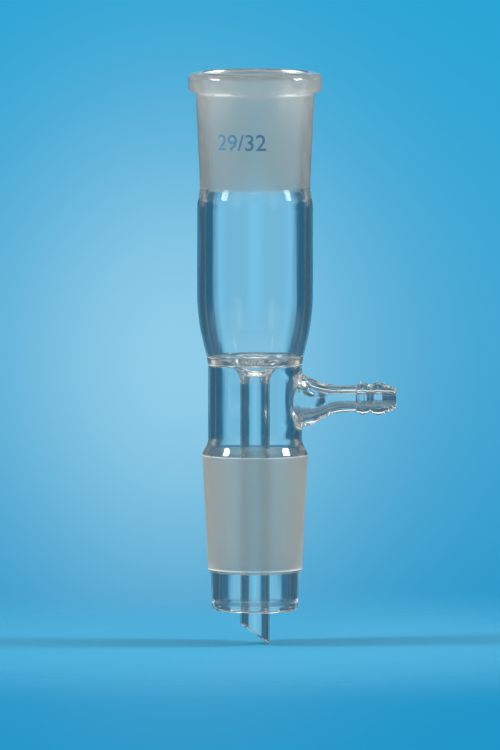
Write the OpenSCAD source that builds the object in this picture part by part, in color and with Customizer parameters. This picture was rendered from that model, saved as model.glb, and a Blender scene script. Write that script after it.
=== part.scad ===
// Straight receiver adapter with a vacuum side arm, blown and fused as one piece of clear
// borosilicate glass. From top to bottom: a beaded ground socket, a clear body, a ring seal
// that carries the inner drip tube, a narrower vacuum chamber with its hose nozzle, a ground
// cone and a clear lip, below which the bevelled drip tip stands out.
// Z is the long axis, +X is the side of the nozzle, and z = 0 is the wide end of the ground
// cone, where its diameter is gauged. All sizes are in millimetres.

/* [Ground joints] */
// Diameter of the socket and of the cone at their wide ends
joint_d = 29.2; // [27:0.1:31]
// Length of both ground surfaces
joint_len = 32; // [26:1:40]
// Length in which both ground surfaces lose one unit of diameter
taper_length = 10; // [8:1:20]

/* [Socket] */
// Wall of the socket at its wide end
socket_wall = 1.8; // [1.3:0.1:2.5]
// Wall of the socket at its narrow end
socket_end_wall = 2.2; // [1.5:0.1:2.6]
// How far the bead stands out from the socket
bead_out = 2.1; // [1.2:0.1:3.5]
// Height of the bead
bead_h = 6.2; // [4.5:0.1:9]
// How far the bead's top falls away towards its outer edge
bead_fall = 0.7; // [0:0.1:1.5]
// Rounding of the bead's upper outer edge
bead_round = 1.5; // [0.5:0.1:2]
// Rounding of the mouth's inner edge
mouth_round = 0.9; // [0.4:0.1:1.2]

/* [Body] */
// Outer diameter of the clear body
body_d = 32; // [30:0.5:36]
// Wall of the clear body
body_wall = 1.9; // [1.4:0.1:2.4]
// Length of the shoulder between the socket and the body
shoulder_len = 5; // [3:0.5:9]
// How far above the outer shoulder the inner one starts
shoulder_lead = 1.2; // [0:0.1:2]
// Length of the straight part of the body
body_len = 25.3; // [15:0.1:60]
// Length over which the body narrows to the ring seal
narrowing_len = 16.4; // [11:0.1:25]

/* [Vacuum chamber] */
// Outer diameter of the chamber
chamber_d = 26; // [25:0.1:27]
// Wall of the chamber
chamber_wall = 1.8; // [1.4:0.1:2.4]
// Height from the cone's wide end to the chamber's roof
chamber_h = 24.5; // [23:0.5:40]
// Height of the flare between the cone and the chamber
flare_h = 3; // [2:0.1:5]

/* [Drip tube] */
// Outer diameter of the drip tube
tube_d = 8.1; // [6:0.1:9]
// Wall of the drip tube
tube_wall = 1.1; // [0.7:0.1:1.6]
// Thickness of the ring seal where it joins the outer wall
seal_h = 2.4; // [2.1:0.1:4]
// How far the outer wall swells at the ring seal
seal_swell = 0.4; // [0:0.1:1]
// Radius of the curve that runs from the chamber's roof down into the tube
funnel_round = 5.5; // [3:0.1:6.5]
// Glass thickness of the funnel
funnel_wall = 1.6; // [1.2:0.1:2.2]
// How far the drip tip stands out below the lip
tip_out = 9.3; // [6:0.1:25]
// Slope of the bevelled tip
tip_angle = 34; // [15:1:50]

/* [Cone and lip] */
// Wall of the cone at its wide end
cone_wall = 2.4; // [1.8:0.1:3]
// Wall of the cone at its narrow end
cone_end_wall = 2.3; // [1.8:0.1:3]
// How far the lip steps in from the cone's narrow end
lip_step = 0.7; // [0.3:0.1:1.2]
// Length of the clear lip below the cone
lip_len = 11.4; // [7:0.1:20]
// How much the lip's radius closes in towards its end
lip_draw = 0.45; // [0:0.05:0.8]
// Wall of the lip
lip_wall = 1.9; // [1.4:0.1:2.4]

/* [Hose nozzle] */
// Height of the nozzle's axis above the cone's wide end
arm_z = 14.6; // [12:0.1:16]
// Distance from the adapter's axis to the nozzle's end
arm_reach = 39; // [37:0.5:60]
// Diameter of the flare where it leaves the chamber's wall
root_d = 15; // [13:0.1:17]
// How far the weld at the flare's root spreads over the chamber's wall
root_weld = 2.4; // [1:0.1:2.8]
// Distance that the flare takes to narrow to the neck
root_len = 8.8; // [8:0.1:12]
// Outer diameter of the neck
neck_d = 7.3; // [6:0.1:8]
// Bore of the nozzle
arm_bore = 3.8; // [2.5:0.1:4.5]
// Glass thickness of the flare where it leaves the chamber's wall
root_wall = 1.6; // [1.2:0.1:2.4]
// Diameter of the two ridges that grip the hose
ridge_d = 9.4; // [8.6:0.1:11]
// Distance between the crests of the ridges
ridge_pitch = 4.5; // [4:0.1:6]
// Length of the ramp from the neck up to the first crest
ramp_len = 1.5; // [0.8:0.1:2]
// Diameter of the groove between the ridges
groove_d = 7.6; // [6:0.1:8]
// Length of the tapered end beyond the last ridge
nose_len = 5; // [4:0.1:8]
// Outer diameter at the very end
nose_d = 5.8; // [5.5:0.1:7]

/* [Hidden] */

GLASS = [0.62, 0.82, 0.91, 0.4];
ROUND_FN = 96;      // facets round every turned surface
SADDLE_FN = 48;     // points in each ring of the nozzle's root
ARC_STEP = 12;      // degrees between the points of a rounded corner
CUT = 1;            // overrun of a cut past the surface that it opens
SUNK = 0.3;         // depth at which the nozzle's weld starts, under the chamber's wall
SEAM = 0.03;        // how far the lofted root stands clear of the turned neck and bore

// Heights along the adapter's axis
cone_end_z = -joint_len;
lip_end_z = cone_end_z - lip_len;
tip_z = lip_end_z - tip_out;
roof_z = chamber_h;
seal_top_z = roof_z + seal_h;
body_low_z = seal_top_z + narrowing_len;
bend_z = body_low_z - narrowing_len / 3;
body_top_z = body_low_z + body_len;
socket_low_z = body_top_z + shoulder_len;
rim_z = socket_low_z + joint_len;
bead_low_z = rim_z - bead_h;

// Radii of the turned surfaces
joint_r = joint_d / 2;
joint_slope = 1 / (2 * taper_length);
joint_end_r = joint_r - joint_len * joint_slope;
body_r = body_d / 2;
body_in_r = body_r - body_wall;
chamber_r = chamber_d / 2;
chamber_in_r = chamber_r - chamber_wall;
tube_r = tube_d / 2;
tube_in_r = tube_r - tube_wall;
bead_r = joint_r + socket_wall + bead_out;
seal_r = chamber_r + seal_swell;
seal_in_r = seal_r - body_wall;
lip_r = joint_end_r - lip_step;
lip_end_r = lip_r - lip_draw;
lip_in_r = lip_end_r - lip_wall;
lip_round = lip_wall * 0.45;
cone_in_r = joint_r - cone_wall;
cone_end_in_r = joint_end_r - cone_end_wall;

// The funnel's two quarter curves, under the roof and above it. Each is drawn round two corners
// that stand this far along the upright and the level line.
funnel_cut = funnel_round * (1 - tan(22.5));
throat_round = funnel_round + tube_wall;
throat_cut = throat_round * (1 - tan(22.5));
funnel_top_z = roof_z + funnel_wall;

// Stations along the nozzle, measured from the adapter's axis
nose_x = arm_reach;
outer_ridge_x = nose_x - nose_len;
inner_ridge_x = outer_ridge_x - ridge_pitch;
neck_end_x = inner_ridge_x - ramp_len;
root_end_x = chamber_r + root_len;
bore_r = arm_bore / 2;

// ---- Outlines ---------------------------------------------------------------------------
// An outline is a closed list of corners [x, y, radius]. round_off() swaps each corner that
// has a radius for the points of its arc. An arc takes at most half of a neighbouring side.

function unit(v) = v / norm(v);

function corner_arc(before, here, after) =
    let (
        p = [here.x, here.y],
        u = unit([before.x, before.y] - p),
        v = unit([after.x, after.y] - p),
        half = acos(max(-1, min(1, u * v))) / 2,
        room = min(norm([before.x, before.y] - p), norm([after.x, after.y] - p)) / 2,
        run = min(here.z / tan(half), room),
        radius = run * tan(half),
        middle = p + unit(u + v) * radius / sin(half),
        turn = 180 - 2 * half,
        steps = max(2, ceil(turn / ARC_STEP)),
        start = p + u * run - middle,
        side = sign(u.x * v.y - u.y * v.x)
    )
    [for (i = [0 : steps])
        let (a = -side * turn * i / steps)
        middle + [start.x * cos(a) - start.y * sin(a), start.x * sin(a) + start.y * cos(a)]];

function round_off(corners) =
    let (n = len(corners))
    [for (i = [0 : n - 1])
        each corners[i].z > 0
            ? corner_arc(corners[(i + n - 1) % n], corners[i], corners[(i + 1) % n])
            : [[corners[i].x, corners[i].y]]];

// A solid turned about Z from an outline of [radius, height, rounding] corners
module turned(corners) {
    rotate_extrude($fn = ROUND_FN) polygon(round_off(corners));
}

// A solid turned about the nozzle's axis from [distance, radius, rounding] corners
module turned_along_arm(corners) {
    translate([0, 0, arm_z])
        rotate([0, 90, 0])
            rotate_extrude($fn = ROUND_FN)
                polygon([for (p = round_off(corners)) [p.y, p.x]]);
}

// ---- Saddle -----------------------------------------------------------------------------
// The flare's rings are laid on the chamber's round wall where the nozzle leaves it, and
// straighten until they are flat at the neck.

// How closely a ring at distance x follows the chamber's wall: 1 on the wall, 0 from the neck on
function lean(x) = pow(1 - max(0, min(1, (x - chamber_r) / root_len)), 2);

// How far the chamber's wall falls back at a distance y to the side of the nozzle's axis
function wall_fall(y) = chamber_r - sqrt(chamber_r * chamber_r - y * y);

// Points of the ring at distance x and radius r round the nozzle's axis
function arm_ring(x, r) =
    [for (i = [0 : SADDLE_FN - 1])
        let (a = 360 * i / SADDLE_FN, y = r * cos(a))
        [x - lean(x) * wall_fall(y), y, arm_z + r * sin(a)]];

// A solid lofted through the rings of [distance, radius, rounding] corners. Fans of triangles
// close its ends, because a ring on the wall isn't flat.
module saddle(corners) {
    outline = round_off(corners);
    last = len(outline) - 1;
    hub = len(outline) * SADDLE_FN;
    polyhedron(
        points = [
            for (p = outline) each arm_ring(p.x, p.y),
            [outline[0].x, 0, arm_z],
            [outline[last].x, 0, arm_z]
        ],
        faces = [
            for (i = [0 : SADDLE_FN - 1])
                let (j = (i + 1) % SADDLE_FN)
                each [
                    [hub, i, j],
                    [hub + 1, last * SADDLE_FN + j, last * SADDLE_FN + i],
                    for (k = [0 : last - 1])
                        let (a = k * SADDLE_FN, b = a + SADDLE_FN)
                        each [[a + i, b + i, b + j], [a + i, b + j, a + j]]
                ]
        ]
    );
}

// ---- Outside ----------------------------------------------------------------------------
// Everything inside the outer skin, from the lip's end to the bead's top
module outer_skin() {
    turned([
        [0, lip_end_z, 0],
        [lip_end_r, lip_end_z, lip_round],
        [lip_r, cone_end_z - lip_step, 0.6],
        [joint_end_r, cone_end_z, 0.3],
        [joint_r, 0, 0.2],
        [chamber_r, flare_h, 3],
        [chamber_r, roof_z, 12],
        [seal_r, seal_top_z, 12],
        [body_r, bend_z, 60],
        [body_r, body_top_z, 9],
        [joint_end_r + socket_end_wall, socket_low_z, 9],
        [joint_r + socket_wall, bead_low_z, 0.4],
        [bead_r, bead_low_z + bead_out / 2, 0.9],
        [bead_r, rim_z - bead_fall, bead_round],
        [joint_r + mouth_round, rim_z, 1],
        [0, rim_z, 0]
    ]);
}

// Trumpet root, neck, two hose ridges and the tapered end of the vacuum nozzle
module nozzle_skin() {
    saddle([
        [chamber_in_r, root_d / 2, 0],
        [chamber_r - SUNK, root_d / 2 + root_weld, 0],
        [chamber_r, root_d / 2, root_weld],
        [root_end_x, neck_d / 2 + SEAM, 14],
        [neck_end_x, neck_d / 2 + SEAM, 0]
    ]);
    turned_along_arm([
        [root_end_x, 0, 0],
        [root_end_x, neck_d / 2, 0],
        [neck_end_x, neck_d / 2, 0.6],
        [inner_ridge_x, ridge_d / 2, 1.1],
        [inner_ridge_x + ridge_pitch / 2, groove_d / 2, 0.8],
        [outer_ridge_x, ridge_d / 2, 1.1],
        [nose_x, nose_d / 2, 0.5],
        [nose_x, 0, 0]
    ]);
}

// ---- Hollows ----------------------------------------------------------------------------
// Ground bore of the socket, the body, the funnel and the drip tube's bore, in one way through
module liquid_way() {
    turned([
        [0, tip_z - CUT, 0],
        [tube_in_r, tip_z - CUT, 0],
        [tube_in_r, funnel_top_z - throat_cut, throat_round],
        [tube_in_r + throat_cut, funnel_top_z, throat_round],
        [seal_in_r, seal_top_z, 2],
        [body_in_r, bend_z, 60],
        [body_in_r, body_top_z + shoulder_lead, 4],
        [joint_end_r, socket_low_z, 0.5],
        [joint_r, rim_z, mouth_round],
        [joint_r + CUT, rim_z, 0],
        [joint_r + CUT, rim_z + CUT, 0],
        [0, rim_z + CUT, 0]
    ]);
}

// The vacuum chamber inside the cone and the lip, before the drip tube is put back into it
module chamber_space() {
    turned([
        [0, lip_end_z - CUT, 0],
        [lip_end_r + CUT, lip_end_z - CUT, 0],
        [lip_end_r + CUT, lip_end_z, 0],
        [lip_in_r, lip_end_z, lip_round],
        [lip_in_r, cone_end_z - lip_step, 3],
        [cone_end_in_r, cone_end_z + 2, 3],
        [cone_in_r, 0, 2],
        [chamber_in_r, flare_h + 1, 3],
        [chamber_in_r, roof_z, 1],
        [0, roof_z, 0]
    ]);
}

// Way from the chamber out through the nozzle
module nozzle_bore() {
    saddle([
        [tube_in_r, root_d / 2 - root_wall, 0],
        [chamber_in_r, root_d / 2 - root_wall, 2],
        [root_end_x, bore_r + SEAM, 12],
        [neck_end_x, bore_r + SEAM, 0]
    ]);
    turned_along_arm([
        [root_end_x, 0, 0],
        [root_end_x, bore_r, 0],
        [nose_x + CUT, bore_r, 0],
        [nose_x + CUT, 0, 0]
    ]);
}

// ---- Drip tube --------------------------------------------------------------------------
// Outside of the funnel and of the bevelled tube that hangs from the chamber's roof
module drip_tube_skin() {
    difference() {
        turned([
            [0, tip_z, 0],
            [tube_r, tip_z, 0],
            [tube_r, roof_z - funnel_cut, funnel_round],
            [tube_r + funnel_cut, roof_z, funnel_round],
            [chamber_in_r, roof_z, 0],
            [chamber_in_r, roof_z + seal_h / 2, 0],
            [0, roof_z + seal_h / 2, 0]
        ]);
        tip_cut();
    }
}

// Slanting cut that leaves the lowest point on the nozzle's side
module tip_cut() {
    translate([tube_r, 0, tip_z])
        rotate([0, tip_angle, 0])
            translate([-2 * tube_d, -tube_d, -2 * tube_d])
                cube([2 * tube_d + CUT, 2 * tube_d, 2 * tube_d]);
}

// ---- The piece --------------------------------------------------------------------------
module glass_adapter() {
    color(GLASS)
        difference() {
            union() {
                difference() {
                    union() {
                        outer_skin();
                        nozzle_skin();
                    }
                    chamber_space();
                    nozzle_bore();
                }
                drip_tube_skin();
            }
            liquid_way();
        }
}

glass_adapter();
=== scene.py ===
import math

import bmesh
import bpy
from bpy.props import (FloatProperty, FloatVectorProperty, IntProperty, PointerProperty,
                       StringProperty)
from mathutils import Matrix, Vector


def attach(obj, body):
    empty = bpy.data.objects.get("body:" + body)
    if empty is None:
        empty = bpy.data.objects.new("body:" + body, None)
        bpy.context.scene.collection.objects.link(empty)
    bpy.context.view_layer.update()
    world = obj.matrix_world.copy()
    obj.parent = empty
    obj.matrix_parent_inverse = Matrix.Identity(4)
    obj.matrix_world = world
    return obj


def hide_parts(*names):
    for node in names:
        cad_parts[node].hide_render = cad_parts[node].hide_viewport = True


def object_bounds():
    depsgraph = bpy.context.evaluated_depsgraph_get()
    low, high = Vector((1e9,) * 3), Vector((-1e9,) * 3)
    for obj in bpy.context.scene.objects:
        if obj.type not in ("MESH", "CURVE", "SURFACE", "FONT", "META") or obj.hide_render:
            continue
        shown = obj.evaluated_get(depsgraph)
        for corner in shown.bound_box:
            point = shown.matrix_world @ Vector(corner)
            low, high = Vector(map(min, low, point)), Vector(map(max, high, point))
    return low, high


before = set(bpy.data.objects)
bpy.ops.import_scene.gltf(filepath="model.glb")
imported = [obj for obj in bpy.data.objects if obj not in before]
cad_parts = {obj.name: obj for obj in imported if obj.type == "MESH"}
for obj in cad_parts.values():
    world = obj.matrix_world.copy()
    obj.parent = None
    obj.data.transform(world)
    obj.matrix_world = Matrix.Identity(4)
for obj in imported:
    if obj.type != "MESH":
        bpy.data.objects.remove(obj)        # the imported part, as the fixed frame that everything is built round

bl_info = {
    "name": "Vacuum receiver adapter",
    "version": (1, 0, 0),
    "blender": (4, 5, 0),
    "location": "View3D > Sidebar > Adapter",
    "description": "Builds a fused glass receiver adapter with ground joints and a hose nozzle",
    "category": "Add Mesh",
}

NODE = "glass_adapter"
BODY = "root"
MM = 0.001
CAD_BOX = [list(corner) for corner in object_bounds()]


# ---- Settings --------------------------------------------------------

def length(label, millimetres, note):
    """A length, given in millimetres and kept in metres."""
    return FloatProperty(name=label, description=note, default=millimetres * MM,
                         min=0.0, unit="LENGTH", subtype="DISTANCE", precision=4)


def tint(label, value, note):
    """A colour, as linear red, green and blue."""
    return FloatVectorProperty(name=label, description=note, default=value, size=3,
                               min=0.0, max=1.0, subtype="COLOR")


def amount(label, value, note, top=1.0):
    """A number that is shown without a unit."""
    return FloatProperty(name=label, description=note, default=value, min=0.0, max=top)


class ADAPTER_PG_sizes(bpy.types.PropertyGroup):
    """Sizes of the glass, from the socket's rim down to the drip tip."""
    joint_d: length("Joint diameter", 29.2, "Ground joints at their wide ends")
    joint_len: length("Joint length", 32, "Length of both ground surfaces")
    taper_length: amount("Taper", 10, "Length in which a joint loses one unit of diameter", 40)
    socket_wall: length("Socket wall", 1.8, "Socket wall at its wide end")
    socket_end_wall: length("Socket end wall", 2.2, "Socket wall at its narrow end")
    bead_out: length("Bead reach", 2.1, "How far the bead stands out from the socket")
    bead_h: length("Bead height", 6.2, "Height of the bead")
    bead_fall: length("Bead fall", 0.7, "How far the bead's top falls towards its edge")
    bead_round: length("Bead rounding", 1.5, "Rounding of the bead's upper outer edge")
    mouth_round: length("Mouth rounding", 0.9, "Rounding of the mouth's inner edge")
    body_d: length("Body diameter", 32, "Outer diameter of the clear body")
    body_wall: length("Body wall", 1.9, "Wall of the clear body")
    shoulder_len: length("Shoulder", 5, "Length between the socket and the body")
    body_len: length("Body length", 25.3, "Straight part of the body")
    narrowing_len: length("Narrowing", 16.4, "Length over which the body narrows")
    chamber_d: length("Chamber diameter", 26, "Outer diameter of the vacuum chamber")
    chamber_wall: length("Chamber wall", 1.8, "Wall of the vacuum chamber")
    chamber_h: length("Chamber height", 24.5, "From the cone's wide end to the roof")
    flare_h: length("Flare height", 3, "Flare between the cone and the chamber")
    tube_d: length("Drip tube diameter", 8.1, "Outer diameter of the drip tube")
    tube_wall: length("Drip tube wall", 1.1, "Wall of the drip tube")
    seal_h: length("Seal height", 2.4, "Thickness of the ring seal at the outer wall")
    seal_swell: length("Seal swell", 0.4, "How far the wall swells at the ring seal")
    roof_rise: length("Roof rise", 0.6, "How far the flame draws the chamber's roof up")
    funnel_round: length("Funnel curve", 5.5, "Curve from the roof down into the tube")
    throat_round: length("Throat curve", 4.2, "Curve of the funnel's upper side into the bore")
    funnel_wall: length("Funnel wall", 1.6, "Glass thickness of the funnel")
    tip_out: length("Tip reach", 9.3, "How far the drip tip stands out below the lip")
    tip_angle: FloatProperty(name="Tip slope", description="Slope of the bevelled tip",
                             default=math.radians(34), subtype="ANGLE", unit="ROTATION")
    cone_wall: length("Cone wall", 2.4, "Cone wall at its wide end")
    cone_end_wall: length("Cone end wall", 2.3, "Cone wall at its narrow end")
    lip_step: length("Lip step", 0.7, "How far the lip steps in from the cone")
    lip_len: length("Lip length", 11.4, "Clear lip below the cone")
    lip_draw: length("Lip draw", 0.45, "How much the lip closes in towards its end")
    lip_wall: length("Lip wall", 1.9, "Wall of the lip")
    root_d: length("Root diameter", 15.0, "Nozzle flare at the chamber's wall")
    root_len: length("Root length", 8.8, "Distance that the flare takes to narrow")
    neck_d: length("Neck diameter", 7.3, "Outer diameter of the nozzle's neck")
    arm_bore: length("Nozzle bore", 3.8, "Bore of the nozzle")
    root_wall: length("Root wall", 1.6, "Glass thickness of the flare")
    root_gather: length("Root gather", 1.1, "Extra glass that gathers inside the flare's weld")
    ridge_d: length("Ridge diameter", 9.4, "The two ridges that grip the hose")
    ridge_pitch: length("Ridge pitch", 4.5, "Distance between the ridges' crests")
    ramp_len: length("Ramp length", 1.5, "Ramp from the neck up to the first crest")
    groove_d: length("Groove diameter", 7.6, "Groove between the ridges")
    nose_len: length("Nose length", 5, "Tapered end beyond the last ridge")
    nose_d: length("Nose diameter", 5.8, "Outer diameter at the nozzle's very end")
    arm_z: length("Nozzle height", 14.6, "Height of the nozzle above the cone's wide end")
    arm_reach: length("Nozzle reach", 39, "From the adapter's axis to the nozzle's end")
    arm_rise: length("Nozzle rise", 0.6, "How far the hand-set nozzle climbs to its end")
    mark_z: length("Mark height", 86.8, "Height of the size mark above the cone's wide end")
    mark_shift: FloatProperty(name="Mark shift", description="Along the socket, from its front",
                              default=-4.0 * MM, unit="LENGTH", precision=4)
    mark_len: length("Mark length", 14.07, "Length of the size mark")
    mark_h: length("Numeral height", 4.5, "Height of its numerals")
    mark_thick: length("Mark thickness", 0.03, "Thickness of its enamel")
    columns: IntProperty(name="Columns", description="Faces round the adapter's axis",
                         default=128, min=64, max=256)


# ---- Outlines --------------------------------------------------------
# An outline is a list of corners (across, along, rounding). Its wire is drawn in the plane
# y = 0, its corners are bevelled, and its long sides are cut into rows.

ROW = 3.0 * MM               # longest row of a straight side
ARC_ROW = 0.8 * MM           # longest row of a rounded corner
EDGE_ROW = 0.22 * MM         # short row next to a rounded corner, which keeps its shading tight
ARC_TURN = math.radians(9)   # largest turn from one row of a rounded corner to the next
WELD = 0.001 * MM            # points closer than this are one point

WINDOW = 14                  # half the faces along one side of an opening for the nozzle
WINDOW_R = 8.5 * MM          # opening in the chamber's outer skin that the nozzle grows from
WINDOW_IN_R = 5.9 * MM       # the same opening in the chamber's inner skin

SEAL_BEND = 12 * MM          # roundings that more than one corner has
BODY_BEND = 60 * MM
SHOULDER_BEND = 9 * MM
INNER_BEND = 3 * MM
TIP_ROUND = 0.35 * MM
INSIDE = 0.02 * MM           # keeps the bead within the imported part's box


def socket_low(s):
    """Height of the socket's narrow end."""
    return s.chamber_h + s.seal_h + s.narrowing_len + s.body_len + s.shoulder_len


def corner_run(before, here, after, rounding):
    """Distance from a corner at which its arc starts, and the angle that it turns."""
    back = before - here
    on = after - here
    half = back.angle(on) / 2
    return min(rounding / math.tan(half), back.length / 2, on.length / 2), math.pi - 2 * half


def cut_side(bm, edge):
    """Cuts a side into a short row at each end and even rows between them."""
    start, end = [vert.co.copy() for vert in edge.verts]
    side = (end - start).normalized()
    edge, near = bmesh.utils.edge_split(edge, edge.verts[0], EDGE_ROW / edge.calc_length())
    rest = next(e for e in near.link_edges if (e.other_vert(near).co - end).length < 1e-9)
    bmesh.utils.edge_split(rest, near, 1 - EDGE_ROW / rest.calc_length())
    middle = next(e for e in near.link_edges
                  if e.other_vert(near).co.dot(side) > near.co.dot(side))
    cuts = math.ceil(middle.calc_length() / ROW) - 1
    if cuts > 0:
        bmesh.ops.subdivide_edges(bm, edges=[middle], cuts=cuts)


def draw_outline(bm, corners, closed, rows_at=None):
    """Draws the wire of an outline, with rounded corners and rows."""
    points = [Vector((across, 0, along)) for across, along, rounding in corners]
    verts = [bm.verts.new(point) for point in points]
    count = len(verts)
    for i in range(count if closed else count - 1):
        bm.edges.new((verts[i], verts[(i + 1) % count]))
    for i, (across, along, rounding) in enumerate(corners):
        if rounding and (closed or 0 < i < count - 1):
            run, turn = corner_run(points[i - 1], points[i], points[(i + 1) % count], rounding)
            steps = max(2, math.ceil(turn / ARC_TURN), math.ceil(2 * run / ARC_ROW))
            bmesh.ops.bevel(bm, geom=[verts[i]], offset=run, offset_type="OFFSET",
                            segments=steps, profile=0.5, affect="VERTICES",
                            clamp_overlap=False, material=-1)
    bmesh.ops.remove_doubles(bm, verts=bm.verts[:], dist=2 * WELD)
    for edge in bm.edges[:]:
        middle_z = (edge.verts[0].co.z + edge.verts[1].co.z) / 2
        if rows_at is not None and abs(middle_z - rows_at) < 0.01 * MM:
            bmesh.ops.subdivide_edges(bm, edges=[edge], cuts=2 * WINDOW - 1)
        elif edge.calc_length() > 4 * EDGE_ROW:
            cut_side(bm, edge)


def glass_outline(s):
    """Corners of the whole wall, from the lip up the outside and back down the inside."""
    joint_r = s.joint_d / 2
    joint_end_r = joint_r - s.joint_len / (2 * s.taper_length)
    body_r = s.body_d / 2
    chamber_r = s.chamber_d / 2
    seal_r = chamber_r + s.seal_swell
    tube_r = s.tube_d / 2
    bead_r = joint_r + s.socket_wall + s.bead_out - INSIDE
    lip_r = joint_end_r - s.lip_step
    lip_end_r = lip_r - s.lip_draw

    body_in_r = body_r - s.body_wall
    seal_in_r = seal_r - s.body_wall
    chamber_in_r = chamber_r - s.chamber_wall
    tube_in_r = tube_r - s.tube_wall
    lip_in_r = lip_end_r - s.lip_wall

    cone_end_z = -s.joint_len
    lip_end_z = cone_end_z - s.lip_len
    tip_z = lip_end_z - s.tip_out
    roof_z = s.chamber_h + s.roof_rise
    seal_top_z = s.chamber_h + s.seal_h
    bend_z = seal_top_z + s.narrowing_len * 2 / 3
    body_top_z = seal_top_z + s.narrowing_len + s.body_len
    socket_low_z = socket_low(s)
    rim_z = socket_low_z + s.joint_len
    bead_low_z = rim_z - s.bead_h

    # the funnel's quarter turns are drawn with two corners each
    funnel_cut = s.funnel_round * (1 - math.tan(math.pi / 8))
    throat_cut = s.throat_round * (1 - math.tan(math.pi / 8))
    outside = [
        (lip_end_r, lip_end_z, 1.25 * MM),
        (lip_r, cone_end_z - s.lip_step, 0.6 * MM),
        (joint_end_r, cone_end_z, 0.3 * MM),
        (joint_r, 0, 0.9 * MM),
        (chamber_r, s.flare_h, 5 * MM),
        (chamber_r, s.arm_z - WINDOW_R, 0),
        (chamber_r, s.arm_z + WINDOW_R, 0),
        (chamber_r, s.chamber_h, SEAL_BEND),
        (seal_r, seal_top_z, SEAL_BEND),
        (body_r, bend_z, BODY_BEND),
        (body_r, body_top_z, SHOULDER_BEND),
        (joint_end_r + s.socket_end_wall, socket_low_z, SHOULDER_BEND),
        (joint_r + s.socket_wall, bead_low_z, 0.5 * MM),
        (bead_r, bead_low_z + s.bead_out / 2, 0.9 * MM),
        (bead_r, rim_z - s.bead_fall, s.bead_round),
        (joint_r + s.mouth_round, rim_z, 1 * MM),
    ]
    liquid_way = [
        (joint_r, rim_z, s.mouth_round),
        (joint_end_r, socket_low_z, 0.5 * MM),
        (body_in_r, body_top_z + 1.2 * MM, 4 * MM),
        (body_in_r, bend_z, BODY_BEND),
        (seal_in_r, seal_top_z, 0.8 * MM),
        (tube_in_r + throat_cut, roof_z + s.funnel_wall, s.throat_round),
        (tube_in_r, roof_z + s.funnel_wall - throat_cut, s.throat_round),
        (tube_in_r, tip_z, TIP_ROUND),
    ]
    vacuum_side = [
        (tube_r, tip_z, TIP_ROUND),
        (tube_r, roof_z - funnel_cut, s.funnel_round),
        (tube_r + funnel_cut, roof_z, s.funnel_round),
        (chamber_in_r, roof_z, 0.7 * MM),
        (chamber_in_r, s.arm_z + WINDOW_IN_R, 0),
        (chamber_in_r, s.arm_z - WINDOW_IN_R, 0),
        (chamber_in_r, s.flare_h + 1 * MM, INNER_BEND),
        (joint_r - s.cone_wall, 0, 2 * MM),
        (joint_end_r - s.cone_end_wall, cone_end_z + 2 * MM, INNER_BEND),
        (lip_in_r, cone_end_z - s.lip_step, INNER_BEND),
        (lip_in_r, lip_end_z + 3.2 * MM, 2 * MM),
        (lip_in_r - 0.45 * MM, lip_end_z + 1.4 * MM, 1.2 * MM),
        (lip_in_r - 0.2 * MM, lip_end_z, 0.9 * MM),
    ]
    return outside + liquid_way + vacuum_side


def nozzle_outline(s):
    """Corners of the nozzle, out along its skin and back along its bore."""
    chamber_r = s.chamber_d / 2
    chamber_in_r = chamber_r - s.chamber_wall
    root_end_x = chamber_r + s.root_len
    outer_ridge_x = s.arm_reach - s.nose_len
    inner_ridge_x = outer_ridge_x - s.ridge_pitch
    groove_x = inner_ridge_x + s.ridge_pitch / 2
    neck_end_x = inner_ridge_x - s.ramp_len
    bore_r = s.arm_bore / 2
    root_in_r = s.root_d / 2 - s.root_wall - s.root_gather

    def root(wall_x, wall_r, end_r, x):
        """A corner on the line from the chamber's wall to the flare's end, past the fillet."""
        return wall_r + (end_r - wall_r) * (x - wall_x) / (root_end_x - wall_x), x, 0

    return [
        root(chamber_r, s.root_d / 2, s.neck_d / 2, chamber_r + 2.2 * MM),
        (s.neck_d / 2, root_end_x, 14 * MM),
        (s.neck_d / 2, neck_end_x, 0.6 * MM),
        (s.ridge_d / 2, inner_ridge_x, 1.1 * MM),
        (s.groove_d / 2, groove_x, 0.8 * MM),
        (s.ridge_d / 2, outer_ridge_x, 1.1 * MM),
        (s.nose_d / 2, s.arm_reach, 0.5 * MM),
        (bore_r, s.arm_reach, 0.3 * MM),
        (bore_r, root_end_x, 12 * MM),
        root(chamber_in_r, root_in_r, bore_r, chamber_in_r + 2 * MM),
    ]


# ---- The glass -------------------------------------------------------

CLEAR, GROUND, EDGE = range(3)   # the glass's materials
GRID_FADE = 1.6       # how far round an opening the wall's grid is drawn in, in opening radii
FILLET_CUTS = 6       # rows across the fillet where the nozzle grows from the wall
ON_SKIN = 0.01 * MM   # a point this close to a wall's skin lies on it
ON_GROUND = 0.12 * MM  # a face this close to a ground cone lies on it


def smooth(start, end, x):
    """0 up to start, 1 from end on and an even curve between. Start may be the larger one."""
    t = max(0.0, min(1.0, (x - start) / (end - start)))
    return t * t * (3 - 2 * t)


def bell(distance, width):
    """1 at no distance, and falling to nothing on both sides."""
    return math.exp(-(distance / width) ** 2)


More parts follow.
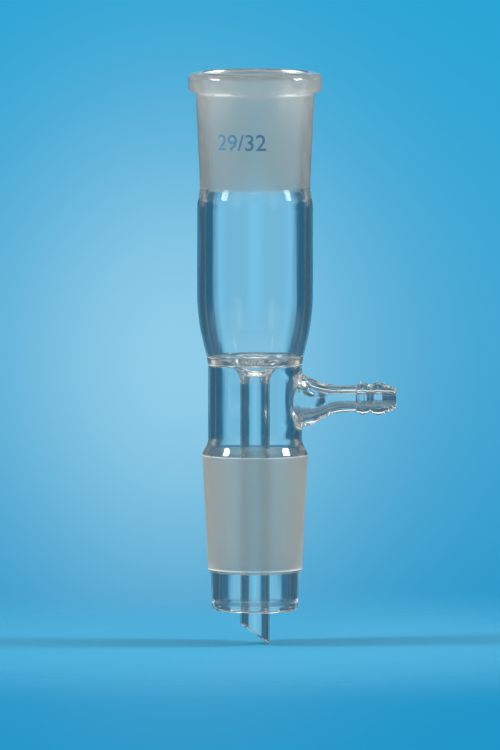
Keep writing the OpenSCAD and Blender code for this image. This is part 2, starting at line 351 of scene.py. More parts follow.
def open_window(bm, s, wall_r, radius):
    """Opens the wall round the nozzle's axis, makes the opening round and returns its edges."""
    reach = WINDOW * 2 * math.pi / s.columns

    def in_window(face):
        middle = face.calc_center_median()
        return (middle.x > 0
                and abs(middle.xy.length - wall_r) < 0.2 * MM
                and abs(middle.z - s.arm_z) < radius
                and abs(math.atan2(middle.y, middle.x)) < reach)

    bmesh.ops.delete(bm, geom=[face for face in bm.faces if in_window(face)], context="FACES")
    for vert in bm.verts:
        if vert.co.x <= 0 or abs(vert.co.xy.length - wall_r) > 0.002 * MM:
            continue
        # place on the opening's square: 1 is its side, and the square is pulled to a circle
        u = math.atan2(vert.co.y, vert.co.x) / reach
        v = (vert.co.z - s.arm_z) / radius
        span = max(abs(u), abs(v))
        if not 0.99 < span < GRID_FADE:
            continue
        if abs(u) >= abs(v):
            angle = math.pi / 4 * v / abs(u)
            across, up = math.copysign(math.cos(angle), u), math.sin(angle)
        else:
            angle = math.pi / 4 * u / abs(v)
            across, up = math.sin(angle), math.copysign(math.cos(angle), v)
        pull = 1 - smooth(1.0, GRID_FADE, span)
        y = vert.co.y + (across * span * radius - vert.co.y) * pull
        vert.co.z += (s.arm_z + up * span * radius - vert.co.z) * pull
        vert.co.y = y
        vert.co.x = math.sqrt(wall_r ** 2 - y ** 2)
    return [edge for edge in bm.edges if edge.is_boundary
            and all(abs(vert.co.xy.length - wall_r) < ON_SKIN for vert in edge.verts)]


def fuse(bm, wall_edges, arm_edges):
    """Joins an opening's edge to the nozzle's first ring with a smooth fused fillet."""
    made = bmesh.ops.bridge_loops(bm, edges=wall_edges + arm_edges, use_pairs=False,
                                  use_cyclic=False, use_merge=False, twist_offset=0)
    rims = set(wall_edges + arm_edges)
    struts = {edge for face in made["faces"] for edge in face.edges} - rims
    bmesh.ops.subdivide_edgering(bm, edges=list(struts), interp_mode="SURFACE", smooth=1.0,
                                 cuts=FILLET_CUTS, profile_shape="SMOOTH",
                                 profile_shape_factor=0.0)


def mark_ground(bm, s):
    """Gives faces their material: ground joints and tip point, and the ground cone's edges."""
    joint_r = s.joint_d / 2
    fall = 1 / (2 * s.taper_length)
    tip_z = min(vert.co.z for vert in bm.verts)
    socket_low_z = socket_low(s)
    rim_z = socket_low_z + s.joint_len
    for face in bm.faces:
        x, y, z = face.calc_center_median()
        across = sum(vert.co.xy.length for vert in face.verts) / len(face.verts)
        cone = abs(across - joint_r - z * fall) < ON_GROUND and -s.joint_len < z < -0.85 * MM
        bore = (abs(across - joint_r - (z - rim_z) * fall) < ON_GROUND
                and socket_low_z < z < rim_z - s.mouth_round * 0.6)
        point = z < tip_z + 0.3 * MM and x > 0.3 * s.tube_d
        upper_edge = -0.95 * MM < z < -0.3 * MM and across > joint_r - 0.6 * MM
        lower_edge = (-s.joint_len < z < -s.joint_len + 0.3 * MM
                      and across > joint_r - s.joint_len * fall - 0.1 * MM)
        if upper_edge or lower_edge:
            face.material_index = EDGE
        elif cone or bore or point:
            face.material_index = GROUND
        else:
            face.material_index = CLEAR


# ---- Traces of hand work ---------------------------------------------

TRACE = 0.001            # a share below this leaves no trace
ARM_SPACE = 9 * MM       # half width of the space round the nozzle's axis that holds its root
TIP_SPAN = 8 * MM        # length of tube over which the tip's slope fades out

SAG = 0.42 * MM          # how far the soft flare sags
SAG_AT = 3.3 * MM        # where it sags most, from the chamber's wall
LEVEL_END = 12 * MM      # the nozzle's last stretch, which climbs no further
ROOT_WELD_AT = 3.2 * MM  # the flare's weld, from the chamber's wall
ROOT_WELD = 0.6 * MM     # and its width
RIDGES_AT = 13 * MM      # where the ridged end starts, from the chamber's wall

THREAD_START = (0.4 * MM, 4.8 * MM)   # out from the chamber's wall, and up from the axis
THREAD_END = (5.0 * MM, 0)
THREAD_WIDTH = 0.8 * MM
THREAD_WANDER = 0.45 * MM             # how far the thread strays from a straight line
THREAD_WAY = (0.3, -0.85, 0.3)        # the way in which it stands out
THREAD_HEIGHT = 0.62 * MM             # about how far it stands out at its start
THREAD_THINS = 0.2 * MM               # and how much less at its end

FUNNEL_WELD_DROP = 4.3 * MM   # from the chamber's roof down to the funnel's weld
FUNNEL_WELD = 0.5 * MM        # and its width
SEAL_WIDTH = 1.8 * MM         # width of the ring seal's ripple
LIP_SPAN = 3.5 * MM           # stretch of the lip's end that is uneven


def wave(angle, turns):
    """An uneven, repeatable ripple round a turned surface, between about -1 and 1."""
    return sum(math.sin(n * angle + 1.7 * n * n) / (1 + 0.25 * k)
               for k, n in enumerate(turns)) / (0.75 * len(turns))


def drawn_thread(out, y, up):
    """Shift of a point on the flare's front, where a thread of glass was drawn over the weld."""
    start = Vector(THREAD_START)
    along = Vector(THREAD_END) - start
    way = along.normalized()
    here = Vector((out, up)) - start
    run = here.dot(way) / along.length
    skin_r = 6.2 * MM - 0.5 * out    # points nearer the axis lie in the bore
    if y > 0 or not -0.2 < run < 1.2 or math.hypot(y, up) < skin_r:
        return Vector((0, 0, 0))
    off = here.cross(way) + THREAD_WANDER * math.sin(11 * run + 1)
    share = bell(off, THREAD_WIDTH) * smooth(-0.2, 0.1, run) * (1 - smooth(0.9, 1.2, run))
    return Vector(THREAD_WAY) * (THREAD_HEIGHT - THREAD_THINS * run) * share


def set_nozzle(vert, s):
    """Sets the nozzle as a hand would: it climbs, sags at its root and is a little uneven."""
    chamber_r = s.chamber_d / 2
    x, y, z = vert.co
    out = x - chamber_r
    up = z - s.arm_z
    turn = math.atan2(up, y)

    def swell(share):
        """Moves the point away from the nozzle's axis by a share of its distance."""
        vert.co.y *= 1 + share
        vert.co.z = s.arm_z + (vert.co.z - s.arm_z) * (1 + share)

    if out > RIDGES_AT:
        swell(0.014 * wave(turn + 60 * x, (2, 3, 5)))
    climb = s.arm_rise * smooth(chamber_r + 1 * MM, s.arm_reach - LEVEL_END, x)
    sag = SAG * smooth(0.5 * MM, SAG_AT, out) * (1 - smooth(SAG_AT, 8 * MM, out))
    vert.co.z += climb - sag
    weld = bell(out - ROOT_WELD_AT, ROOT_WELD)
    if weld > TRACE:
        swell(0.08 * weld * (1 + 0.9 * wave(turn, (2, 3, 5, 7))))
    rough = smooth(0.3 * MM, 2 * MM, out) * (1 - smooth(4 * MM, 8 * MM, out))
    if rough > TRACE:
        swell(0.014 * rough * wave(turn + 900 * out, (3, 4, 7)))
    vert.co += drawn_thread(out, y, up)


def hand_work(bm, s):
    """Bevels the drip tip, sets the nozzle as a hand would and makes the seals uneven."""
    tip_z = min(vert.co.z for vert in bm.verts)
    tube_r = s.tube_d / 2
    chamber_r = s.chamber_d / 2
    lip_z = -s.joint_len - s.lip_len
    weld_z = s.chamber_h + s.roof_rise - FUNNEL_WELD_DROP
    seal_z = s.chamber_h + s.seal_h / 2
    body_z = s.chamber_h + 4 * MM
    shoulder_z = socket_low(s) - 1.6 * MM
    for vert in bm.verts:
        x, y, z = vert.co
        across = vert.co.xy.length
        angle = math.atan2(y, x)
        weld = bell(z - weld_z, FUNNEL_WELD)
        seal = bell(z - seal_z, SEAL_WIDTH)
        lip = smooth(lip_z + LIP_SPAN, lip_z, z)
        swell, rise = 0, 0
        if across < tube_r + 0.1 * MM and z < tip_z + TIP_SPAN:  # the drip tip
            rise = (1 - (z - tip_z) / TIP_SPAN) * (tube_r - x) * math.tan(s.tip_angle)
        elif x > chamber_r - 2 * MM and max(abs(y), abs(z - s.arm_z)) < ARM_SPACE:
            set_nozzle(vert, s)
        elif weld > TRACE and tube_r - 0.2 * MM < across < tube_r + 2 * MM:
            # the weld of the funnel and the drip tube
            swell = weld * (0.06 + 0.03 * wave(angle, (2, 3, 7)))
            rise = weld * 0.25 * MM * wave(angle, (1, 3, 4))
        elif seal > TRACE and across > tube_r + 1 * MM:  # the ring seal
            swell = seal * 0.006 * wave(angle + 1, (3, 4, 9, 13))
            rise = seal * 0.24 * MM * wave(angle, (2, 5, 7, 11, 16))
        elif lip > 0 and across > 2 * tube_r:  # the lip's end
            swell = lip * 0.010 * wave(angle + 2, (3, 5, 8, 12, 17))
            rise = lip * 0.18 * MM * wave(angle, (2, 7, 11, 15))
        elif body_z < z < shoulder_z:  # the body
            swell = 0.0012 * wave(angle + 20 * z, (2, 3))
        vert.co.x *= 1 + swell
        vert.co.y *= 1 + swell
        vert.co.z += rise


def build_nozzle(bm, s):
    """Adds the nozzle, open at its root, and returns the edges of its skin and of its bore."""
    arm = bmesh.new()
    draw_outline(arm, nozzle_outline(s), closed=False)
    bmesh.ops.rotate(arm, verts=arm.verts[:], cent=(0, 0, 0),
                     matrix=Matrix(((0, 0, 1), (0, 1, 0), (1, 0, 0))))
    bmesh.ops.spin(arm, geom=arm.verts[:] + arm.edges[:], axis=(1, 0, 0), cent=(0, 0, 0),
                   steps=8 * WINDOW, angle=2 * math.pi, use_merge=True)
    bmesh.ops.translate(arm, verts=arm.verts[:], vec=(0, 0, s.arm_z))
    piece = bpy.data.meshes.new("nozzle")
    arm.to_mesh(piece)
    arm.free()
    old = set(bm.edges)
    bm.from_mesh(piece)
    bpy.data.meshes.remove(piece)
    ends = [edge for edge in bm.edges if edge not in old and edge.is_boundary]
    skin_x = s.chamber_d / 2 + 1.5 * MM
    skin = [edge for edge in ends if edge.verts[0].co.x > skin_x]
    bore = [edge for edge in ends if edge.verts[0].co.x <= skin_x]
    return skin, bore


def build_glass(s):
    """The whole adapter as one closed mesh, in metres."""
    bm = bmesh.new()
    draw_outline(bm, glass_outline(s), closed=True, rows_at=s.arm_z)
    bmesh.ops.spin(bm, geom=bm.verts[:] + bm.edges[:], axis=(0, 0, 1), cent=(0, 0, 0),
                   steps=s.columns, angle=2 * math.pi, use_merge=True)
    chamber_r = s.chamber_d / 2
    wall_edges = open_window(bm, s, chamber_r, WINDOW_R)
    inner_edges = open_window(bm, s, chamber_r - s.chamber_wall, WINDOW_IN_R)
    skin, bore = build_nozzle(bm, s)
    fuse(bm, wall_edges, skin)
    fuse(bm, inner_edges, bore)
    bmesh.ops.remove_doubles(bm, verts=bm.verts[:], dist=WELD)
    mark_ground(bm, s)
    hand_work(bm, s)
    bmesh.ops.recalc_face_normals(bm, faces=bm.faces[:])
    return bm


# ---- The size mark ---------------------------------------------------

MARK_CUT = 0.35 * MM   # the mark is cut into strips this wide, so that it bends with the socket
MARK_GAP = 0.004 * MM  # between the mark and the socket's skin


def flat_numerals(body):
    """Flat numerals as a mesh of any size, with a slightly heavier stroke than the font's."""
    text = bpy.data.curves.new("numerals", "FONT")
    text.body = body
    text.align_x = "CENTER"
    text.align_y = "CENTER"
    text.resolution_u = 6
    text.offset = 0.006
    held = bpy.data.objects.new("numerals", text)
    bpy.context.scene.collection.objects.link(held)
    bpy.context.view_layer.update()
    graph = bpy.context.evaluated_depsgraph_get()
    flat = bpy.data.meshes.new_from_object(held.evaluated_get(graph))
    bpy.data.objects.remove(held)
    bpy.data.curves.remove(text)
    bm = bmesh.new()
    bm.from_mesh(flat)
    bpy.data.meshes.remove(flat)
    return bm


def build_mark(s, body):
    """The joint's size in thin enamel numerals, wrapped on the front of the socket."""
    bm = flat_numerals(body)
    low_x, low_y = [min(vert.co[i] for vert in bm.verts) for i in range(2)]
    high_x, high_y = [max(vert.co[i] for vert in bm.verts) for i in range(2)]
    bmesh.ops.translate(bm, verts=bm.verts[:],
                        vec=(-(low_x + high_x) / 2, -(low_y + high_y) / 2, 0))
    bmesh.ops.scale(bm, verts=bm.verts[:],
                    vec=(s.mark_len / (high_x - low_x), s.mark_h / (high_y - low_y), 1))
    bmesh.ops.remove_doubles(bm, verts=bm.verts[:], dist=WELD)
    strips = math.ceil(s.mark_len / 2 / MARK_CUT)
    for k in range(-strips, strips + 1):
        bmesh.ops.bisect_plane(bm, geom=bm.verts[:] + bm.edges[:] + bm.faces[:],
                               plane_co=(k * MARK_CUT, 0, 0), plane_no=(1, 0, 0), dist=1e-7)
    made = bmesh.ops.extrude_face_region(bm, geom=bm.faces[:])
    top = [item for item in made["geom"] if isinstance(item, bmesh.types.BMVert)]
    bmesh.ops.translate(bm, verts=top, vec=(0, 0, s.mark_thick))
    bmesh.ops.recalc_face_normals(bm, faces=bm.faces[:])

    joint_r = s.joint_d / 2
    low_z = socket_low(s)
    high_z = low_z + s.joint_len - s.bead_h
    low_r = joint_r - s.joint_len / (2 * s.taper_length) + s.socket_end_wall
    high_r = joint_r + s.socket_wall
    for vert in bm.verts:
        x, up, out = vert.co
        z = s.mark_z + up
        r = low_r + (high_r - low_r) * (z - low_z) / (high_z - low_z)
        turn = (x + s.mark_shift) / r
        r += out + MARK_GAP
        vert.co = (r * math.sin(turn), -r * math.cos(turn), z)
    return bm


# ---- Finishes --------------------------------------------------------

def sine(degrees):
    """Sine of an angle in degrees."""
    return math.sin(math.radians(degrees))


def cosine(degrees):
    """Cosine of an angle in degrees."""
    return math.cos(math.radians(degrees))


class Tree:
    """Short way to wire a node tree."""

    def __init__(self, tree):
        self.nodes = tree.nodes
        self.links = tree.links

    def put(self, value, socket):
        """Links another node's output to a socket, or sets its number or colour."""
        if isinstance(value, bpy.types.NodeSocket):
            self.links.new(value, socket)
        elif isinstance(value, tuple):
            socket.default_value = (*value, 1)
        else:
            socket.default_value = value

    def maths(self, kind, a, b=0.0):
        """Result of one operation on one or two numbers."""
        node = self.nodes.new("ShaderNodeMath")
        node.operation = kind
        self.put(a, node.inputs[0])
        self.put(b, node.inputs[1])
        return node.outputs[0]

    def ramp(self, value, low, high, to_low=0.0, to_high=1.0, kind="SMOOTHSTEP"):
        """Changes from to_low to to_high while the value goes from low to high."""
        node = self.nodes.new("ShaderNodeMapRange")
        node.interpolation_type = kind
        for name, item in (("Value", value), ("From Min", low), ("From Max", high),
                           ("To Min", to_low), ("To Max", to_high)):
            self.put(item, node.inputs[name])
        return node.outputs["Result"]

    def bands(self, height, stops):
        """Colours by elevation in degrees, from the sine of the elevation."""
        node = self.nodes.new("ShaderNodeValToRGB")
        self.put(self.maths("ADD", self.maths("MULTIPLY", height, 0.5), 0.5), node.inputs[0])
        points = node.color_ramp.elements
        points.remove(points[1])
        for i, (degrees, colour) in enumerate(stops):
            place = (sine(degrees) + 1) / 2
            point = points.new(place) if i else points[0]
            point.position = place
            point.color = (*colour, 1)
        return node.outputs["Color"]

    def mix(self, share, a, b):
        """Colour a at share 0, and colour b at share 1."""
        node = self.nodes.new("ShaderNodeMix")
        node.data_type = "RGBA"
        self.put(share, node.inputs[0])
        self.put(a, node.inputs[6])
        self.put(b, node.inputs[7])
        return node.outputs[2]

    def bent_light(self):
        """1 for light that glass reflects or lets through, and 0 for other light."""
        path = self.nodes.new("ShaderNodeLightPath")
        return self.maths("MAXIMUM", path.outputs["Is Glossy Ray"],
                          path.outputs["Is Transmission Ray"])


def new_material(name):
    """A material, with its node tree, its Principled shader and its Object coordinates."""
    mat = bpy.data.materials.new(name)
    mat.use_nodes = True
    t = Tree(mat.node_tree)
    coords = t.nodes.new("ShaderNodeTexCoord").outputs["Object"]
    return mat, t, t.nodes["Principled BSDF"], coords


def glass_surface_group():
    """Node group with the faint marks that glass keeps from drawing and handling."""
    group = bpy.data.node_groups.new("glass_surface", "ShaderNodeTree")
    face = group.interface
    face.new_socket("Vector", in_out="INPUT", socket_type="NodeSocketVector")
    for name, value in (("Draw Lines", 0.5), ("Ripple", 0.5), ("Grain", 0.0),
                        ("Grain Scale", 9000.0)):
        socket = face.new_socket(name, in_out="INPUT", socket_type="NodeSocketFloat")
        socket.default_value = value
    for name in ("Height", "Mask"):
        face.new_socket(name, in_out="OUTPUT", socket_type="NodeSocketFloat")
    t = Tree(group)
    into = t.nodes.new("NodeGroupInput").outputs
    out = t.nodes.new("NodeGroupOutput").inputs

    def noise(scale, stretch, detail):
        """Soft noise, stretched along the axes."""
        mapping = t.nodes.new("ShaderNodeMapping")
        mapping.inputs["Scale"].default_value = stretch
        t.put(into["Vector"], mapping.inputs["Vector"])
        tex = t.nodes.new("ShaderNodeTexNoise")
        t.put(scale, tex.inputs["Scale"])
        t.put(detail, tex.inputs["Detail"])
        t.put(mapping.outputs["Vector"], tex.inputs["Vector"])
        return tex.outputs[0]

    drawn = t.maths("MULTIPLY", noise(420.0, (1, 1, 0.05), 2.0), into["Draw Lines"])
    ripple = t.maths("MULTIPLY", noise(90.0, (1, 1, 0.6), 1.0), into["Ripple"])
    grain = t.maths("MULTIPLY", noise(into["Grain Scale"], (1, 1, 1), 3.0), into["Grain"])
    t.put(t.maths("ADD", t.maths("ADD", drawn, ripple), grain), out["Height"])
    t.put(noise(60.0, (1, 1, 1), 4.0), out["Mask"])
    return group


def place_group(t, coords, group, values):
    """Puts a node group into a material with its own values, and returns its outputs."""
    node = t.nodes.new("ShaderNodeGroup")
    node.node_tree = group
    t.put(coords, node.inputs["Vector"])
    for name, value in values.items():
        node.inputs[name].default_value = value
    return node.outputs


def add_bump(t, shader, height, strength, distance):
    """Bump from a height to the shader's Normal."""
    bump = t.nodes.new("ShaderNodeBump")
    bump.inputs["Strength"].default_value = strength
    bump.inputs["Distance"].default_value = distance
    t.put(height, bump.inputs["Height"])
    t.put(bump.outputs["Normal"], shader.inputs["Normal"])


DRAWN = {"Draw Lines": 0.5, "Ripple": 1.0, "Grain": 0.0}    # marks on clear glass
GRAINY = {"Draw Lines": 0.0, "Ripple": 0.0, "Grain": 1.0}   # marks on ground glass and enamel
ROUGH_SPREAD = 0.05   # how much the joints' roughness varies to either side
PALER = 1.35          # the size mark's palest places, as a share of its colour


def glass_material(name, colour, clearness, f, group, values):
    """A glass, with its tree, its shader and the outputs of the surface group in it."""
    mat, t, shader, coords = new_material(name)
    shader.inputs["Base Color"].default_value = (*colour, 1)
    shader.inputs["Transmission Weight"].default_value = clearness
    shader.inputs["IOR"].default_value = f.ior
    return mat, t, shader, place_group(t, coords, group, values)


def clear_glass(f, group):
    """Clear glass with faint lines from drawing."""
    mat, t, shader, marks = glass_material("clear_borosilicate", f.glass_tint, 1.0,
                                           f, group, DRAWN)
    shader.inputs["Roughness"].default_value = 0.0
    add_bump(t, shader, marks["Height"], 0.12, 0.0004)
    return mat


def ground_glass(f, group):
    """The finely ground surface of both joints."""
    mat, t, shader, marks = glass_material("ground_borosilicate", f.ground_tint,
                                           f.ground_clear, f, group, GRAINY)
    rough = t.ramp(marks["Mask"], 0.3, 0.7, f.ground_rough - ROUGH_SPREAD,
                   f.ground_rough + ROUGH_SPREAD, kind="LINEAR")
    t.put(rough, shader.inputs["Roughness"])
    add_bump(t, shader, marks["Height"], 0.25, 0.00005)
    return mat


def ground_edge(f, group):
    """The narrow arris where the grinding ends, which scatters light like frost."""
    mat, t, shader, marks = glass_material("ground_edge", f.edge_tint, 0.25, f, group, GRAINY)
    rough = t.ramp(marks["Mask"], 0.3, 0.7, 0.3, 0.45, kind="LINEAR")
    t.put(rough, shader.inputs["Roughness"])
    return mat


def mark_enamel(f, group):
    """Matt enamel, a little paler in places."""
    mat, t, shader, coords = new_material("mark_enamel")
    marks = place_group(t, coords, group, {**GRAINY, "Grain Scale": 2500.0})
    share = t.ramp(marks["Height"], 0.35, 0.65, kind="LINEAR")
    pale = tuple(min(1.0, PALER * part) for part in f.mark_colour)
    t.put(t.mix(share, tuple(f.mark_colour), pale), shader.inputs["Base Color"])
    shader.inputs["Roughness"].default_value = 0.9
    shader.inputs["Specular IOR Level"].default_value = 0.15
    add_bump(t, shader, marks["Height"], 0.3, 0.00002)
    return mat


class ADAPTER_PG_finish(bpy.types.PropertyGroup):
    """Colours and surfaces of the glass and of its size mark."""
    glass_tint: tint("Glass", (0.985, 1.0, 0.995), "Faint tint of the clear glass")
    ground_tint: tint("Ground glass", (0.93, 0.90, 0.83), "Tint of the ground surfaces")
    edge_tint: tint("Ground edge", (0.95, 0.93, 0.84), "Tint of the ground cone's edges")
    ior: amount("Refraction", 1.473, "Index of refraction of borosilicate glass", 3.0)
    ground_clear: amount("Ground clearness", 0.85, "Share of light that ground glass lets through")
    ground_rough: amount("Ground roughness", 0.46, "Roughness of the ground surfaces")
    mark_colour: tint("Mark", (0.075, 0.20, 0.34), "Enamel of the size mark")
    mark: StringProperty(name="Mark", default="29/32",
                         description="Nominal joint size: width and length in millimetres")


class ADAPTER_PG_stage(bpy.types.PropertyGroup):
    """Camera, floor and lights."""
    distance: FloatProperty(name="Camera distance", description="From the adapter's axis",
                            default=5.0, min=0.3, unit="LENGTH")
    height: FloatProperty(name="Camera height", description="Above the drip tip",
                          default=0.437, min=0.0, unit="LENGTH")
    aim_z: length("Aim", 21.7, "Height that the camera looks at")
    aim_x: FloatProperty(name="Aim across", description="How far the view is set off the axis",
                         default=-1.4 * MM, unit="LENGTH")
    lens: amount("Lens", 871.3, "Focal length in millimetres", 2000.0)
    softbox: amount("Softboxes", 6.2, "Power of each side softbox in watts", 100.0)
    top_light: amount("Top light", 0.9, "Power of the overhead softbox in watts", 100.0)
    floor_colour: tint("Floor", (0.015, 0.25, 0.44), "Floor")


# ---- Operators -------------------------------------------------------

def add_piece(name, bm, materials):
    """Makes a smooth object of a mesh and links it to the scene."""
    mesh = bpy.data.meshes.new(name)
    bm.to_mesh(mesh)
    bm.free()
    for mat in materials:
        mesh.materials.append(mat)
    mesh.shade_smooth()
    obj = bpy.data.objects.new(name, mesh)
    bpy.context.scene.collection.objects.link(obj)
    return obj


class ADAPTER_OT_glass(bpy.types.Operator):
    """Builds the fused glass with its ground joints and hose nozzle"""
    bl_idname = "adapter.glass"
    bl_label = "Glass"

    def execute(self, context):
        scene = context.scene
        finish = scene.adapter_finish
        group = glass_surface_group()
        glass = add_piece("fused_glass", build_glass(scene.adapter_sizes),
                          [clear_glass(finish, group), ground_glass(finish, group),
                           ground_edge(finish, group)])
        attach(glass, BODY)
        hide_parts(NODE)
        return {"FINISHED"}


class ADAPTER_OT_mark(bpy.types.Operator):
    """Prints the nominal joint size on the socket"""
    bl_idname = "adapter.mark"
    bl_label = "Size mark"

    def execute(self, context):
        scene = context.scene
        finish = scene.adapter_finish
        enamel = mark_enamel(finish, bpy.data.node_groups["glass_surface"])
        mark = add_piece("size_mark", build_mark(scene.adapter_sizes, finish.mark), [enamel])
        mark.data.shade_flat()
        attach(mark, BODY)
        return {"FINISHED"}


# ---- Studio ----------------------------------------------------------
# The camera sees a plain blue backdrop. What the glass reflects and bends into view is a banded
# studio of its own, and other surfaces are lit softly. Bands are given by elevation in degrees,
# from below to above.

BACKDROP = (0.19, 0.53, 0.78)
DIM = (0.05, 0.13, 0.20)
SHADE = (0.06, 0.14, 0.21)
CEILING_PANEL = (1.5, 1.46, 1.36)
CEILING = ((39, DIM), (42, CEILING_PANEL), (48, CEILING_PANEL),
           (51, (0.10, 0.17, 0.23)), (90, (0.18, 0.23, 0.26)))

HIGH_BEHIND = ((2, BACKDROP), (15, (0.17, 0.45, 0.66)), (21, (0.05, 0.14, 0.22))) + CEILING
HIGH_BESIDE = ((14, (0.50, 0.48, 0.44)), (19, (0.06, 0.13, 0.19))) + CEILING
LOW_BEHIND = ((-90, (0.14, 0.23, 0.28)), (-46, (0.07, 0.14, 0.20)),
              (-30, (0.04, 0.13, 0.21)), (-8, (0.07, 0.24, 0.39)))
LOW_BESIDE = ((-90, (0.18, 0.28, 0.34)), (-42, (0.12, 0.22, 0.29)), (-20, (0.06, 0.15, 0.23)))
LOW_FRONT = ((-90, (0.70, 0.67, 0.57)), (-30, (0.70, 0.67, 0.57)), (-18, (0.3, 0.36, 0.38)))

GLOW_REPEAT = 128.0    # glows round the horizon, so that one stands behind the adapter
GLOW_TURN = 0.22       # how far they are turned to the left, in degrees
GLOW_DROP = 4.1        # their middle's depth below the horizon, in degrees
GLOW_FLAT = 5900.0     # the larger this is, the flatter a glow is
GLOW_NARROW = 1.1      # the larger this is, the narrower it is

SIDE_BOXES = (("softbox_left", -79), ("softbox_right", 87))   # azimuths in degrees
SIDE_ELEVATION = 35
SIDE_AWAY = 0.8
SIDE_WIDTH = 0.20
TOP_ELEVATION = 84
TOP_AWAY = 0.7
TOP_WIDTH = 0.30
TOP_COLOUR = (1.0, 0.93, 0.80)
LIGHTS_AIM = (0, 0, 0.03)

FLOOR_RADIUS = 0.5
FLOOR_GAP = 0.05 * MM   # between the drip tip and the floor
FLOOR_FADE = (0.03, 0.20)   # distances from the axis between which the floor fades out
LIGHT_PATHS = 64        # how often light may pass through a wall of glass or off it


def area_light(name, azimuth, elevation, away, width, power):
    """A round softbox that faces the adapter. Azimuth 0 is the camera's side."""
    data = bpy.data.lights.new(name, "AREA")
    data.shape = "DISK"
    data.size = width
    data.energy = power
    lamp = bpy.data.objects.new(name, data)
    out = Vector((sine(azimuth) * cosine(elevation), -cosine(azimuth) * cosine(elevation),
                  sine(elevation)))
    lamp.location = Vector(LIGHTS_AIM) + out * away
    lamp.rotation_euler = out.to_track_quat("Z", "Y").to_euler()
    bpy.context.scene.collection.objects.link(lamp)
    return lamp


def seen_backdrop(t, azimuth, up):
    """The backdrop as the camera sees it: a soft glow on blue."""
    turned = t.maths("ADD", azimuth, math.radians(GLOW_TURN))
    side = t.maths("COSINE", t.maths("MULTIPLY", turned, GLOW_REPEAT))
    lift = t.maths("ADD", up, sine(GLOW_DROP))
    fade = t.maths("MULTIPLY", t.maths("MULTIPLY", lift, lift), -GLOW_FLAT)
    across = t.maths("MULTIPLY", t.maths("SUBTRACT", side, 1.0), GLOW_NARROW)
    glow = t.maths("EXPONENT", t.maths("ADD", fade, across))
    plain = t.mix(t.ramp(lift, -0.022, 0.018), (0.011, 0.30, 0.58), (0.018, 0.37, 0.66))
    return t.mix(glow, plain, (0.28, 0.61, 0.81))


def bent_studio(t, azimuth, y, up):
    """What the glass bends into view: strips of backdrop behind, beside and in front of the
    adapter, a grey wall between them, and bands of light above and below. In front the strip
    is wide and soft, and the low bands are pale."""
    quarter = t.maths("COSINE", t.maths("MULTIPLY", azimuth, 4.0))

    def within(full, none, inside=1.0, outside=0.0):
        """One value up to so many degrees from a strip's middle, and the other beyond."""
        return t.ramp(quarter, cosine(4 * none), cosine(4 * full), outside, inside)

    front = t.ramp(y, 0.1, -0.1)
    strip = t.maths("ADD", t.maths("MULTIPLY", within(4.5, 10.5), t.maths("SUBTRACT", 1.0, front)),
                    t.maths("MULTIPLY", within(1, 24), front))
    wall = within(28, 36, 0.0, 1.0)
    level = t.mix(wall, (0.020, 0.108, 0.205), (0.055, 0.100, 0.128))
    level = t.mix(strip, level, BACKDROP)

    low = t.mix(strip, t.bands(up, LOW_BESIDE), t.bands(up, LOW_BEHIND))
    low = t.mix(t.ramp(y, 0.0, -0.3), low, t.bands(up, LOW_FRONT))

    # the screens beside a strip are dim towards the front and pale towards the back
    half = t.maths("SINE", t.maths("MULTIPLY", t.maths("ABSOLUTE", azimuth), 4.0))
    screen = t.mix(t.ramp(half, 0.3, -0.3), (0.27, 0.27, 0.25), (0.74, 0.71, 0.62))
    screen = t.mix(wall, SHADE, screen)
    high = t.mix(t.ramp(up, sine(14), sine(18)), screen, t.bands(up, HIGH_BESIDE))
    high = t.mix(strip, high, t.bands(up, HIGH_BEHIND))

    rise = t.ramp(up, sine(-0.5), sine(2.5))
    fall = t.ramp(up, sine(-14), sine(-7), 1.0, 0.0)
    return t.mix(fall, t.mix(rise, level, high), low)


def build_world():
    """Sets the studio round the adapter, by the kind of light that looks at it."""
    world = bpy.data.worlds.new("studio")
    bpy.context.scene.world = world
    world.use_nodes = True
    t = Tree(world.node_tree)
    direction = t.nodes.new("ShaderNodeSeparateXYZ")
    coords = t.nodes.new("ShaderNodeTexCoord")
    t.put(coords.outputs["Generated"], direction.inputs[0])
    x, y, up = direction.outputs
    azimuth = t.maths("ARCTAN2", x, y)
    # soft light, about twice as strong from both sides
    sides = t.ramp(t.maths("ABSOLUTE", x), 0.35, 0.95)
    plain = t.mix(sides, (0.42, 0.43, 0.42), (0.95, 0.90, 0.78))
    colour = t.mix(t.bent_light(), plain, bent_studio(t, azimuth, y, up))
    path = t.nodes.new("ShaderNodeLightPath")
    colour = t.mix(path.outputs["Is Camera Ray"], colour, seen_backdrop(t, azimuth, up))
    back = t.nodes["Background"]
    t.put(colour, back.inputs["Color"])
    back.inputs["Strength"].default_value = 1.0


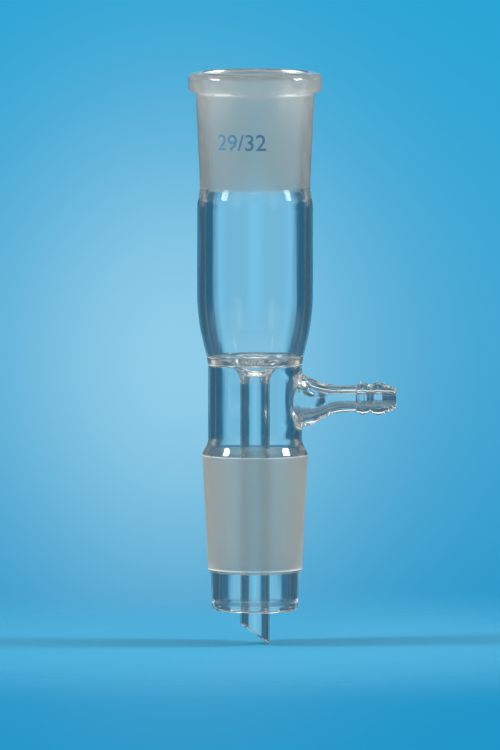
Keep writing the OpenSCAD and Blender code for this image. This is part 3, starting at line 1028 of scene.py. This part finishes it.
def build_floor(st, z):
    """A round floor that takes the adapter's shadow and fades out into the backdrop."""
    bm = bmesh.new()
    bmesh.ops.create_circle(bm, cap_ends=True, segments=128, radius=FLOOR_RADIUS)
    bmesh.ops.translate(bm, verts=bm.verts[:], vec=(0, 0, z))
    mat, t, shader, coords = new_material("floor")
    shader.inputs["Base Color"].default_value = (*st.floor_colour, 1)
    shader.inputs["Roughness"].default_value = 0.6
    flat = t.nodes.new("ShaderNodeVectorMath")
    flat.operation = "MULTIPLY"
    flat.inputs[1].default_value = (1, 1, 0)
    t.put(coords, flat.inputs[0])
    reach = t.nodes.new("ShaderNodeVectorMath")
    reach.operation = "LENGTH"
    t.put(flat.outputs[0], reach.inputs[0])
    fade = t.maths("MAXIMUM", t.ramp(reach.outputs["Value"], *FLOOR_FADE), t.bent_light())
    clear = t.nodes.new("ShaderNodeBsdfTransparent")
    mix = t.nodes.new("ShaderNodeMixShader")
    t.put(fade, mix.inputs[0])
    t.put(shader.outputs[0], mix.inputs[1])
    t.put(clear.outputs[0], mix.inputs[2])
    t.put(mix.outputs[0], t.nodes["Material Output"].inputs["Surface"])
    floor = add_piece("floor", bm, [mat])


def build_camera(st, low_z):
    """A camera with a long lens, far in front of the adapter and a little above it."""
    data = bpy.data.cameras.new("camera")
    data.sensor_fit = "VERTICAL"
    data.sensor_height = 36
    data.lens = st.lens
    data.clip_start = 0.1
    data.clip_end = 20
    camera = bpy.data.objects.new("camera", data)
    camera.location = (st.aim_x, -st.distance, low_z + st.height)
    aim = Vector((st.aim_x, 0, st.aim_z)) - camera.location
    camera.rotation_euler = aim.to_track_quat("-Z", "Y").to_euler()
    return camera


class ADAPTER_OT_stage(bpy.types.Operator):
    """Sets the floor, backdrop, softboxes and camera"""
    bl_idname = "adapter.stage"
    bl_label = "Stage"

    def execute(self, context):
        scene = context.scene
        st = scene.adapter_stage
        low_z = CAD_BOX[0][2]
        build_world()
        build_floor(st, low_z - FLOOR_GAP)
        for name, azimuth in SIDE_BOXES:
            area_light(name, azimuth, SIDE_ELEVATION, SIDE_AWAY, SIDE_WIDTH, st.softbox)
        top = area_light("softbox_top", 0, TOP_ELEVATION, TOP_AWAY, TOP_WIDTH, st.top_light)
        top.data.color = TOP_COLOUR
        camera = build_camera(st, low_z)
        scene.collection.objects.link(camera)
        scene.camera = camera
        scene.view_settings.view_transform = "Standard"
        scene.cycles.max_bounces = LIGHT_PATHS
        scene.cycles.transmission_bounces = LIGHT_PATHS
        scene.cycles.glossy_bounces = LIGHT_PATHS
        scene.cycles.transparent_max_bounces = 16
        return {"FINISHED"}


class ADAPTER_PT_panel(bpy.types.Panel):
    """Lists the operators in the 3D view's sidebar"""
    bl_label = "Receiver adapter"
    bl_idname = "ADAPTER_PT_panel"
    bl_space_type = "VIEW_3D"
    bl_region_type = "UI"
    bl_category = "Adapter"

    def draw(self, context):
        for cls in OPERATORS:
            self.layout.operator(cls.bl_idname)


OPERATORS = (ADAPTER_OT_glass, ADAPTER_OT_mark, ADAPTER_OT_stage)
CLASSES = (ADAPTER_PG_sizes, ADAPTER_PG_finish, ADAPTER_PG_stage, *OPERATORS, ADAPTER_PT_panel)


def register():
    """Registers the classes and gives the scene its settings."""
    for cls in CLASSES:
        bpy.utils.register_class(cls)
    bpy.types.Scene.adapter_sizes = PointerProperty(type=ADAPTER_PG_sizes)
    bpy.types.Scene.adapter_finish = PointerProperty(type=ADAPTER_PG_finish)
    bpy.types.Scene.adapter_stage = PointerProperty(type=ADAPTER_PG_stage)


def unregister():
    """Takes the settings and the classes away again."""
    for name in ("adapter_sizes", "adapter_finish", "adapter_stage"):
        delattr(bpy.types.Scene, name)
    for cls in reversed(CLASSES):
        bpy.utils.unregister_class(cls)


def main():
    """Builds everything."""
    register()
    bpy.ops.adapter.glass()
    bpy.ops.adapter.mark()
    bpy.ops.adapter.stage()


if __name__ == "__main__":
    main()
